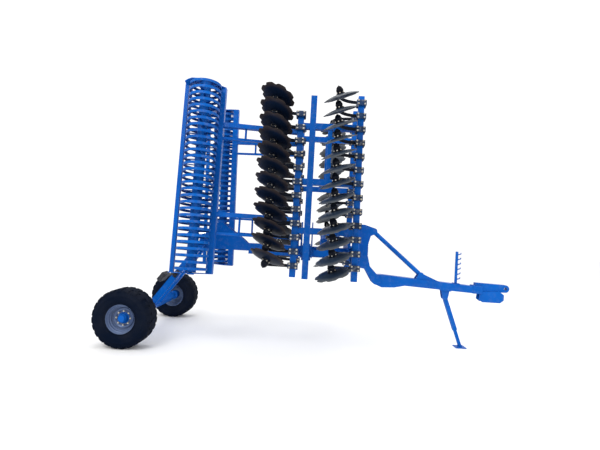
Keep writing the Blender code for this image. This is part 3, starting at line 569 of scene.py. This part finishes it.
# %% Sizes of the gangs
BEAM = 0.10
BEAM_W = -0.19
PITCH_U = 0.226
DISC_ANGLE = math.radians(20)
DISC_TILT = math.radians(16)       # the hollow side looks up
ARM_END = Vector((-0.40, 0, -0.53))
ARM_WIDTH, ARM_SHIFT = 0.05, 0.02
HUB_TIP = 0.183                    # from the disc's rim plane to the arm's far side
SPACERS = (0.35, 1.15, 2.08)       # where blocks join the rear beam to the mid tube
SPACER_END = -0.2803
GANGS = {
    "front": {"x": 0.55, "span": (-0.42, 2.63), "first": -0.21, "count": 13, "outward": 1},
    "rear": {"x": -0.43, "span": (-0.40, 2.30), "first": -0.22, "count": 12, "outward": -1},
}


def disc_place(outward):
    """From a disc drawn about Z to its place under the beam's axis."""
    normal = Vector((-math.sin(DISC_ANGLE), outward * math.cos(DISC_ANGLE), -math.tan(DISC_TILT)))
    normal.normalize()
    centre = ARM_END + normal * (ARM_SHIFT + ARM_WIDTH * 0.9 - HUB_TIP)
    return Matrix.Translation(centre) @ normal.to_track_quat("Z", "Y").to_matrix().to_4x4()


HUB_BOLTS, HUB_BOLT_RING = 5, 0.053
CLAMP_BOLT_X, CLAMP_BOLT_U = 0.052, 0.028


# %% Arm, hub and clamp
def curved_arm():
    path = [(0.045, -0.066), (-0.08, -0.066), (-0.16, -0.078), (-0.24, -0.108), (-0.31, -0.156),
            (-0.36, -0.218), (-0.388, -0.292), (-0.400, -0.370), (-0.402, -0.470), (-0.400, -0.575)]
    return strip("arm", path, ARM_WIDTH, 0.022)


def hub():
    """Bearing hub with its flange on the disc's crown, turned about Y and then stood on Z."""
    profile = [(0, 0.048), (0.068, 0.048), (0.068, 0.060), (0.054, 0.066), (0.048, 0.084),
               (0.056, 0.088), (0.056, 0.118), (0.050, 0.124), (0.044, 0.146), (0.034, 0.158),
               (0, HUB_TIP)]
    made = turned("hub", profile, 32)
    made.data.transform(Matrix.Rotation(math.radians(90), 4, "X"))
    return made


def hub_bolts():
    """Bolt heads on the flange and on the hollow side of the disc."""
    made = []
    for number in range(HUB_BOLTS):
        turn = number * math.tau / HUB_BOLTS
        x, y = HUB_BOLT_RING * math.cos(turn), HUB_BOLT_RING * math.sin(turn)
        made.append(round_bar("bolt", (x, y, 0.058), (x, y, 0.076), 0.011, 6))
        made.append(round_bar("bolt", (x, y, 0.024), (x, y, 0.044), 0.011, 6))
    return joined("hub_bolts", made)


def clamp():
    """Top strap and bottom casting that hold one arm to the beam."""
    top = block("clamp_top", (-0.078, -0.046, 0.052), (0.078, 0.046, 0.068), 0.006)
    bottom = block("clamp_bottom", (-0.082, -0.048, -0.098), (0.082, 0.048, -0.076), 0.008)
    cheeks = [block("clamp_cheek", (x - 0.012, -0.048, -0.085), (x + 0.012, 0.048, 0.060), 0.005)
              for x in (-0.068, 0.068)]
    return joined("clamp", [top, bottom, *cheeks])


def clamp_bolts():
    """Four through bolts with nuts below."""
    made = []
    for x in (-CLAMP_BOLT_X, CLAMP_BOLT_X):
        for u in (-CLAMP_BOLT_U, CLAMP_BOLT_U):
            made.append(round_bar("head", (x, u, 0.066), (x, u, 0.084), 0.015, 6))
            made.append(round_bar("nut", (x, u, -0.116), (x, u, -0.096), 0.016, 6))
            made.append(round_bar("thread", (x, u, -0.130), (x, u, -0.100), 0.009, 10))
    return joined("clamp_bolts", made)


# %% Both gangs on both wings
def gang_beam(gang, with_spacers):
    """Square tube with a cap in each end, and the blocks that reach the mid tube."""
    x = gang["x"]
    low, high = gang["span"]
    half, cap = BEAM / 2, BEAM / 2 - 0.008
    parts = [block("beam", (x - half, low, BEAM_W - half), (x + half, high, BEAM_W + half), 0.008)]
    for end in (low, high):
        out = 0.004 if end > 0 else -0.004
        a, b = sorted((end - 2 * out, end))
        parts.append(block("cap", (x - cap, a, BEAM_W - cap), (x + cap, b, BEAM_W + cap), 0.003))
    for u in SPACERS if with_spacers else ():
        parts.append(block("spacer", (x + 0.045, u - 0.05, BEAM_W - 0.04),
                           (SPACER_END, u + 0.05, BEAM_W + 0.04)))
    return joined("beam", parts)


disc_finish = {"front": disc_grey, "rear": disc_black}
plain_hub = hub()
for name, gang in GANGS.items():
    places = [at(gang["x"], gang["first"] + PITCH_U * number, BEAM_W)
              for number in range(gang["count"])]
    stand = disc_place(gang["outward"])
    on_wings(gang_beam(gang, name == "rear"), name + "_gang_beam", blue,
             replaced=(name + "_gang",))
    on_wings(row_of(curved_arm(), "arms", places), name + "_gang_arms", arm_black)
    on_wings(row_of(clamp(), "clamps", places), name + "_gang_clamps", clamp_steel)
    on_wings(row_of(clamp_bolts(), "bolts", places), name + "_gang_clamp_bolts", zinc)
    hubs = copy_of(plain_hub, "hub_here", stand)
    on_wings(row_of(hubs, "hubs", places), name + "_gang_hubs", arm_black)
    bolts = hub_bolts()
    bolts.data.transform(stand)
    on_wings(row_of(bolts, "bolts", places), name + "_gang_hub_bolts", zinc)
    discs = copy_of(disc, "disc_here", stand)
    on_wings(row_of(discs, "discs", places), name + "_gang_discs",
             disc_finish[name], smooth=25)
bpy.data.objects.remove(plain_hub)
bpy.data.objects.remove(disc)

# %% [markdown]
# ## Cage rollers
#
# Behind the discs runs a roller of welded hoops, which firms the soil. Each hoop is a T-section
# ring: a wide tread on a thin web, tied to the core tube by three flat spokes. One hoop is
# turned from its profile and copied along the core.

# %% Roller
ROLLER_X, ROLLER_W, ROLLER_RADIUS = -1.94, -0.60, 0.243
ROLLER_SPAN = (-0.405, 2.57)
HOOPS, HOOP_WIDTH, HOOP_INSET = 30, 0.04, 0.035
HOOP_TURN = math.radians(25)       # from each hoop to the next, so that the spokes wind round
HOOP_STEPS = 40
TREAD, WEB_DEPTH, WEB_HALF = 0.010, 0.045, 0.005
SPOKES = 3
CORE_RADIUS = 0.08
SHAFT_RADIUS, SHAFT_REACH = 0.024, 0.022


def hoop():
    r, half = ROLLER_RADIUS, HOOP_WIDTH / 2
    inner, web = r - TREAD, r - WEB_DEPTH
    profile = [(r, -half), (r, half), (inner + 0.001, half), (inner, WEB_HALF), (web, WEB_HALF),
               (web, -WEB_HALF), (inner, -WEB_HALF), (inner + 0.001, -half), (r, -half)]
    ring = turned("ring", profile, HOOP_STEPS)
    spokes = []
    for number in range(SPOKES):
        spoke = block("spoke", (CORE_RADIUS - 0.01, -WEB_HALF, -0.022),
                      (r - 0.030, WEB_HALF, 0.022), 0.002)
        spoke.data.transform(Matrix.Rotation(number * math.tau / SPOKES, 4, "Y"))
        spokes.append(spoke)
    return joined("hoop", [ring, *spokes])


start, end = ROLLER_SPAN
first_hoop = start + HOOP_INSET + HOOP_WIDTH / 2
hoop_pitch = (end - start - 2 * HOOP_INSET - HOOP_WIDTH) / (HOOPS - 1)
hoop_places = [at(ROLLER_X, first_hoop + hoop_pitch * number, ROLLER_W)
               @ Matrix.Rotation(HOOP_TURN * number, 4, "Y") for number in range(HOOPS)]
on_wings(row_of(hoop(), "hoops", hoop_places), "roller_hoops", deep_blue, "roller")
core_profile = [(0, start - SHAFT_REACH), (SHAFT_RADIUS, start - SHAFT_REACH),
                (SHAFT_RADIUS, start + 0.002), (CORE_RADIUS, start + 0.002),
                (CORE_RADIUS, end - 0.002), (SHAFT_RADIUS, end - 0.002),
                (SHAFT_RADIUS, end + SHAFT_REACH), (0, end + SHAFT_REACH)]
core = turned("core", core_profile, 32)
core.data.transform(at(ROLLER_X, 0, ROLLER_W))
on_wings(core, "roller_core", deep_blue, "roller", replaced=("roller",))

# %% [markdown]
# ## Transport wheels
#
# Wide soft tyres on dished steel wheels. Tyre and wheel are turned profiles. The tread blocks
# are chosen faces of the tread, pushed outwards.

# %% Tyre and wheel
TYRE_RADIUS, TYRE_WIDTH = 0.437, 0.404
WHEEL_STEPS = 72
AXLE = Vector((-2.86, 1.15, 0.437))
SHOULDER_START, TREAD_START = 0.06, 0.40
BLOCK_HEIGHT = 0.0085
WHEEL_NUTS, NUT_RING = 8, 0.104


def tyre():
    half = TYRE_WIDTH / 2
    tread = TYRE_RADIUS - 0.010
    side = [(0.212, half - 0.045), (0.216, half - 0.030), (0.228, half - 0.024),
            (0.236, half - 0.028), (0.262, half - 0.008), (0.300, half - 0.001),
            (0.335, half - 0.003), (0.341, half), (0.349, half - 0.004), (0.375, half - 0.012),
            (0.398, half - 0.024), (0.414, half - 0.042), (tread, half - 0.070),
            (tread, half - 0.125), (tread - 0.006, half - 0.130), (tread - 0.006, half - 0.140),
            (tread, half - 0.145), (tread, 0.0)]
    profile = side + [(radius, -y) for radius, y in reversed(side[:-1])] + [side[0]]
    made = turned("tyre", profile, WHEEL_STEPS)
    bpy.ops.object.mode_set(mode="EDIT")
    bpy.ops.mesh.select_mode(type="FACE")
    bpy.ops.mesh.select_all(action="DESELECT")
    mesh = bmesh.from_edit_mesh(made.data)
    for face in mesh.faces:
        centre = face.calc_center_median()
        ring = math.hypot(centre.x, centre.z)
        step = int(math.atan2(centre.z, centre.x) % math.tau / (math.tau / WHEEL_STEPS))
        stagger = 1 if centre.y > 0 else 0
        if abs(centre.y) > SHOULDER_START:
            face.select = ring > TREAD_START and (step + stagger) % 3 != 0
        else:
            face.select = ring > tread - 0.004 and step % 6 != 0
    bmesh.update_edit_mesh(made.data)
    bpy.ops.mesh.extrude_region_shrink_fatten(TRANSFORM_OT_shrink_fatten={"value": BLOCK_HEIGHT})
    bpy.ops.object.mode_set(mode="OBJECT")
    return made


def wheel():
    """Stepped barrel and dished disc, open to the outside."""
    profile = [(0.2115, 0.150), (0.224, 0.158), (0.226, 0.166), (0.222, 0.170), (0.212, 0.166),
               (0.203, 0.150), (0.200, 0.128), (0.190, 0.120), (0.188, 0.085), (0.176, 0.074),
               (0.174, 0.046), (0.160, 0.044), (0.150, 0.058), (0.136, 0.064), (0.120, 0.058),
               (0.100, 0.034), (0, 0.034), (0, 0.020), (0.104, 0.020), (0.150, 0.040),
               (0.178, 0.020), (0.178, -0.060), (0.198, -0.085), (0.203, -0.150), (0.224, -0.158),
               (0.226, -0.166), (0.214, -0.168), (0.208, -0.150), (0.206, -0.080), (0.206, 0.110),
               (0.2115, 0.150)]
    return turned("wheel", profile, WHEEL_STEPS)


def wheel_hub():
    profile = [(0, 0.030), (0.082, 0.030), (0.082, 0.044), (0.070, 0.050), (0.064, 0.096),
               (0.056, 0.104), (0.050, 0.128), (0.036, 0.136), (0, 0.138)]
    back = [(0, -0.118), (0.080, -0.118), (0.084, -0.090), (0.084, 0.022), (0, 0.022)]
    return joined("wheel_hub", [turned("cap", profile), turned("drum", back)])


def wheel_nuts():
    made = []
    for number in range(WHEEL_NUTS):
        turn = number * math.tau / WHEEL_NUTS
        x, z = NUT_RING * math.cos(turn), NUT_RING * math.sin(turn)
        made.append(round_bar("nut", (x, 0.034, z), (x, 0.058, z), 0.0135, 6))
        made.append(round_bar("stud", (x, 0.050, z), (x, 0.068, z), 0.008, 12))
    return joined("wheel_nuts", made)


for name, piece, slot, material, replaced in (
        ("tyre_carcass", tyre(), "tyre", tyre_rubber, ("tyre",)),
        ("wheel_disc", wheel(), "rim_steel", silver, ("rim",)),
        ("wheel_hub", wheel_hub(), "blue_paint", blue, ()),
        ("wheel_nuts", wheel_nuts(), "rim_steel", zinc, ())):
    for side, way in SIDES.items():
        place = at(AXLE.x, way * AXLE.y, AXLE.z) @ Matrix.Diagonal((1, way, 1, 1))
        copy = copy_of(piece, side + "_" + name, place)
        nodes = [side + "_" + node for node in replaced]
        mount_piece(copy, side + "_wheel", material, nodes, 30)
    bpy.data.objects.remove(piece)
print("wheels on")
